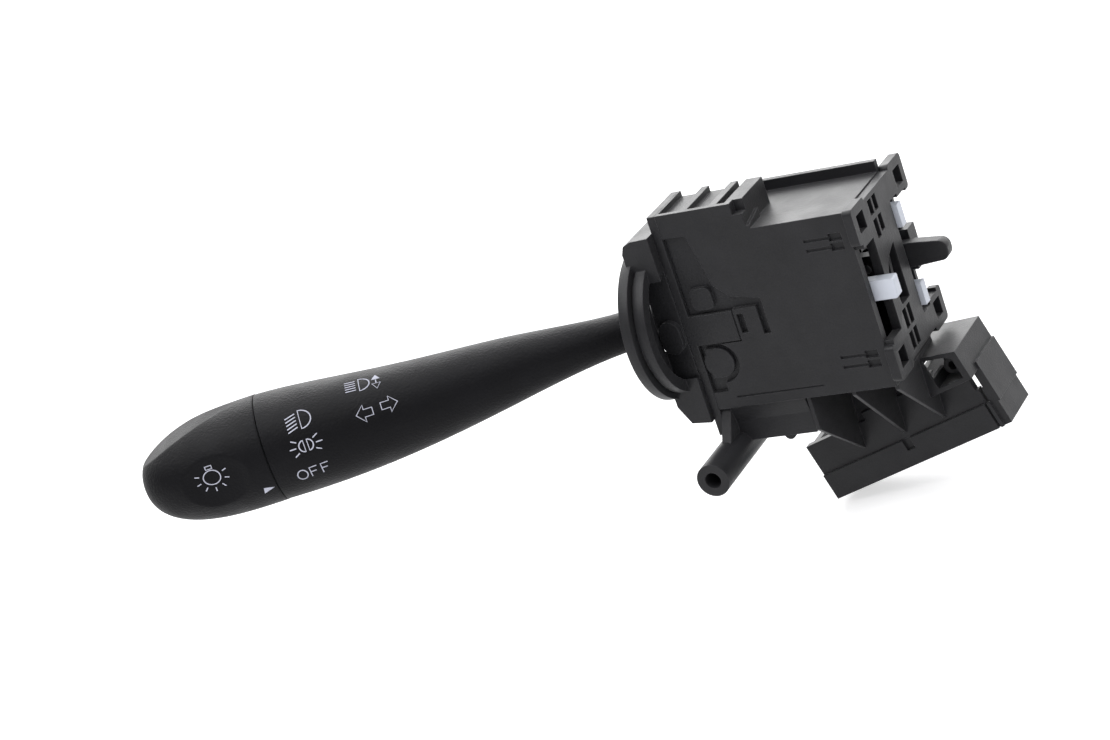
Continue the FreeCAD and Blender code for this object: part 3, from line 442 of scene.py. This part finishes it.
def rear_tongue(material):
    """The tongue of the rear cover that closes the casing's back beside the plug socket."""
    low, high = TONGUE
    size = [(far - near) * MM for near, far in zip(low, high)]
    middle = [(near + far) / 2 * MM for near, far in zip(low, high)]
    shape = bmesh.new()
    bmesh.ops.create_cube(shape, size=1.0)
    bmesh.ops.scale(shape, verts=shape.verts, vec=size)
    bmesh.ops.translate(shape, verts=shape.verts, vec=middle)
    bmesh.ops.bevel(shape, geom=shape.edges[:], offset=TONGUE_ROUND * MM, affect="EDGES",
                    segments=2, profile=0.5, material=-1)
    mesh = bpy.data.meshes.new("rear_tongue")
    shape.to_mesh(mesh)
    shape.free()
    tongue = add_object("rear_tongue", mesh, material)
    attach(tongue, "casing")


def stroke_mesh(name, strokes):
    """Strokes as thin rounded lines, closed where they end at their start."""
    curve = bpy.data.curves.new(name, "CURVE")
    curve.dimensions = "3D"
    curve.bevel_depth = INK_HALF
    curve.bevel_resolution = 1
    curve.use_fill_caps = True
    for points in strokes:
        closed = math.dist(points[0], points[-1]) < SAME_POINT
        points = points[:-1] if closed else points
        spline = curve.splines.new("POLY")
        spline.points.add(len(points) - 1)
        for point, (u, v) in zip(spline.points, points):
            point.co = (u, v, 0.0, 1.0)
        spline.use_cyclic_u = closed
    holder = bpy.data.objects.new(name, curve)
    mesh = bpy.data.meshes.new_from_object(holder)
    bpy.data.objects.remove(holder)
    return mesh


def ink_mesh(name, strokes, fills):
    """A flat sign as a mesh fine enough to bend: its strokes, and its fills as closed plates."""
    mesh = stroke_mesh(name, strokes)
    shape = bmesh.new()
    shape.from_mesh(mesh)
    for outline in fills:
        face = shape.faces.new([shape.verts.new((u, v, FILL_HALF)) for u, v in outline])
        lower = bmesh.ops.extrude_face_region(shape, geom=[face])["geom"]
        lower_verts = [item for item in lower if isinstance(item, bmesh.types.BMVert)]
        bmesh.ops.translate(shape, verts=lower_verts, vec=(0.0, 0.0, -2.0 * FILL_HALF))
    bmesh.ops.triangulate(shape, faces=[face for face in shape.faces if len(face.verts) > 4])
    for _ in range(INK_SPLITS):
        long = [edge for edge in shape.edges if edge.calc_length() > INK_LONGEST]
        bmesh.ops.subdivide_edges(shape, edges=long, cuts=1)
    bmesh.ops.triangulate(shape, faces=shape.faces)
    bmesh.ops.recalc_face_normals(shape, faces=shape.faces)
    shape.to_mesh(mesh)
    shape.free()
    return mesh


def print_sign(name, node, distance, below, strokes, fills, material):
    """Wraps a flat sign onto the lever, so that it lies on the plastic and follows its curve."""
    mesh = ink_mesh(name, strokes, fills)
    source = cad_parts[node].data
    surface = BVHTree.FromPolygons([vertex.co for vertex in source.vertices],
                                   [face.vertices for face in source.polygons])
    for vertex in mesh.vertices:
        u, v, rise = vertex.co
        centre = PIVOT + ALONG * (SPLIT - (distance + u) * MM)
        turn = math.radians(below) - v * MM / KNOB_RADIUS
        out = DRIVER * math.cos(turn) - UP * math.sin(turn)
        place = surface.ray_cast(centre + out * (SIGHT * MM), -out)[0]
        if place is None:
            raise RuntimeError(f"{name} runs past {node}")
        vertex.co = place + out * (rise * INK_RISE + INK_LIFT) * MM
    sign = add_object(name, mesh, material)
    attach(sign, "lever" if node == "stalk_shell" else "knob")


class SWITCH_OT_casing(Operator):
    """Dresses the casing, covers, guard and bracket in black plastic and adds the rear tongue."""

    bl_idname = "switch.casing"
    bl_label = "Casing and covers"

    def execute(self, context):
        look = context.scene.switch_finish
        # Casing edges painted much lighter: part wear, part painted highlight
        black = finish("casing_black", look.casing_colour, CASING_GRAIN, roughness=0.47,
                       edge_wear_and_highlight=2.2, specular=0.25, sheen=0.12)
        dress(BLACK_NODES, black, look.edge_round)
        rear_tongue(black)
        return {"FINISHED"}


class SWITCH_OT_inner(Operator):
    """Dresses the white sliders, plungers, springs, pins and contacts."""

    bl_idname = "switch.inner"
    bl_label = "Sliders, springs and contacts"

    def execute(self, context):
        look = context.scene.switch_finish
        nylon = finish("white_nylon", look.nylon_colour, NYLON_GRAIN, roughness=0.45, edge_wear_and_highlight=1.05,
                       specular=0.4, patch=0.05)
        steel = finish("spring_steel", STEEL_COLOUR, METAL_GRAIN, roughness=0.30, edge_wear_and_highlight=1.15,
                       metallic=1.0, edge=0.0001, stretch=DRAWN_Z)
        brass = finish("contact_brass", BRASS_COLOUR, METAL_GRAIN, roughness=0.33, edge_wear_and_highlight=1.15,
                       metallic=1.0, edge=0.0001, stretch=DRAWN_Y)
        dress(NYLON_NODES, nylon)
        dress(STEEL_NODES, steel)
        dress(BRASS_NODES, brass)
        return {"FINISHED"}


class SWITCH_OT_lever(Operator):
    """Dresses the stalk and the light knob in grained plastic."""

    bl_idname = "switch.lever"
    bl_label = "Stalk and knob"

    def execute(self, context):
        look = context.scene.switch_finish
        grained = finish("stalk_grained", look.stalk_colour, STALK_GRAIN, roughness=0.50,
                         edge_wear_and_highlight=1.3, specular=0.10, edge=0.0002, sheen=0.02)
        soft = finish("knob_grained", look.stalk_colour, STALK_GRAIN, roughness=0.52,
                      edge_wear_and_highlight=1.0, specular=0.10, edge=0.0011, sheen=0.02)
        dress(["stalk_shell"], grained)
        dress(["light_knob"], soft)
        return {"FINISHED"}


class SWITCH_OT_signs(Operator):
    """Prints the signs on the stalk and on the light knob."""

    bl_idname = "switch.signs"
    bl_label = "Printed signs"

    def execute(self, context):
        look = context.scene.switch_finish
        ink = finish("printed_ink", look.print_colour, INK_GRAIN, roughness=0.6, edge_wear_and_highlight=1.0,
                     specular=0.2, patch=0.08, edge=0.00005)
        for name, sign in SIGNS.items():
            print_sign(name, *sign, ink)
        return {"FINISHED"}


class SWITCH_OT_stage(Operator):
    """Sets the floor, the lamps, the surroundings and the camera."""

    bl_idname = "switch.stage"
    bl_label = "Stage"

    def execute(self, context):
        scene = context.scene
        scene.view_settings.view_transform = "Standard"
        self.surroundings(scene)
        self.floor()
        self.lamps(scene)
        self.camera(scene)
        return {"FINISHED"}

    def surroundings(self, scene):
        """White to the camera, pale to the light that falls, and a tent to reflections."""
        stage = scene.switch_stage
        world = bpy.data.worlds.new("Surroundings")
        scene.world = world
        world.use_nodes = True
        tree = world.node_tree
        path = tree.nodes.new("ShaderNodeLightPath")
        way = tree.nodes.new("ShaderNodeTexCoord")
        tent = ranged(tree, agreement(tree, way.outputs["Generated"], TENT_WAY), *TENT_RANGE,
                      TENT_DARK, stage.tent_strength)
        strength = mixed(tree, path.outputs["Is Glossy Ray"], stage.world_strength, tent)
        for ray in ("Is Transmission Ray", "Is Camera Ray"):
            strength = mixed(tree, path.outputs[ray], strength, 1.0)
        background = tree.nodes["Background"]
        put(tree, strength, background.inputs["Strength"])
        put(tree, WHITE, background.inputs["Color"])

    def floor(self):
        """A pale floor under the switch."""
        shape = bmesh.new()
        bmesh.ops.create_grid(shape, x_segments=1, y_segments=1, size=FLOOR_HALF)
        low = cad_box[0][2] - FLOOR_DROP
        bmesh.ops.translate(shape, verts=shape.verts, vec=(0.0, 0.0, low))
        mesh = bpy.data.meshes.new("Floor")
        shape.to_mesh(mesh)
        shape.free()
        material = bpy.data.materials.new("Floor")
        material.use_nodes = True
        tree = material.node_tree
        shader = tree.nodes["Principled BSDF"]
        glow = ranged(tree, seen_directly(tree), 0.0, 1.0, 0.0, FLOOR_GLOW)
        put(tree, FLOOR_COLOUR, shader.inputs["Base Color"])
        put(tree, FLOOR_ROUGHNESS, shader.inputs["Roughness"])
        put(tree, WHITE, shader.inputs["Emission Color"])
        put(tree, glow, shader.inputs["Emission Strength"])
        floor = add_object("Floor", mesh, material)

    def lamps(self, scene):
        """Three soft lamps: above the driver's side, at the column side and behind."""
        for name, (place, aim, size, power, share) in LAMPS.items():
            light = bpy.data.lights.new(name, "AREA")
            light.size = size
            light.energy = getattr(scene.switch_stage, power) * share
            obj = bpy.data.objects.new(name, light)
            scene.collection.objects.link(obj)
            obj.location = place
            aim_back = Vector(place) - Vector(aim)
            obj.rotation_euler = aim_back.to_track_quat("Z", "Y").to_euler()

    def camera(self, scene):
        """The camera of the photograph."""
        data = bpy.data.cameras.new("View")
        data.sensor_width = CAMERA_SENSOR
        data.lens = CAMERA_LENS
        data.clip_end = CAMERA_REACH
        camera = bpy.data.objects.new("View", data)
        scene.collection.objects.link(camera)
        turn = Matrix((CAMERA_RIGHT, CAMERA_UP, CAMERA_BACK)).transposed().to_4x4()
        camera.matrix_world = Matrix.Translation(CAMERA_PLACE) @ turn
        scene.camera = camera


class SWITCH_PT_panel(Panel):
    """Lists the steps and their settings."""

    bl_idname = "SWITCH_PT_panel"
    bl_label = "Stalk switch"
    bl_space_type = "VIEW_3D"
    bl_region_type = "UI"
    bl_category = "Stalk switch"

    def draw(self, context):
        column = self.layout.column()
        for operator in OPERATORS:
            column.operator(operator.bl_idname)
        for group in (context.scene.switch_finish, context.scene.switch_stage):
            for name in group.__annotations__:
                column.prop(group, name)


OPERATORS = (SWITCH_OT_casing, SWITCH_OT_inner, SWITCH_OT_lever, SWITCH_OT_signs, SWITCH_OT_stage)
CLASSES = (SwitchFinish, SwitchStage) + OPERATORS + (SWITCH_PT_panel,)


def register():
    for item in CLASSES:
        bpy.utils.register_class(item)
    bpy.types.Scene.switch_finish = PointerProperty(type=SwitchFinish)
    bpy.types.Scene.switch_stage = PointerProperty(type=SwitchStage)


def unregister():
    del bpy.types.Scene.switch_finish
    del bpy.types.Scene.switch_stage
    for item in reversed(CLASSES):
        bpy.utils.unregister_class(item)


def main():
    register()
    bpy.ops.switch.casing()
    bpy.ops.switch.inner()
    bpy.ops.switch.lever()
    bpy.ops.switch.signs()
    bpy.ops.switch.stage()


if __name__ == "__main__":
    main()
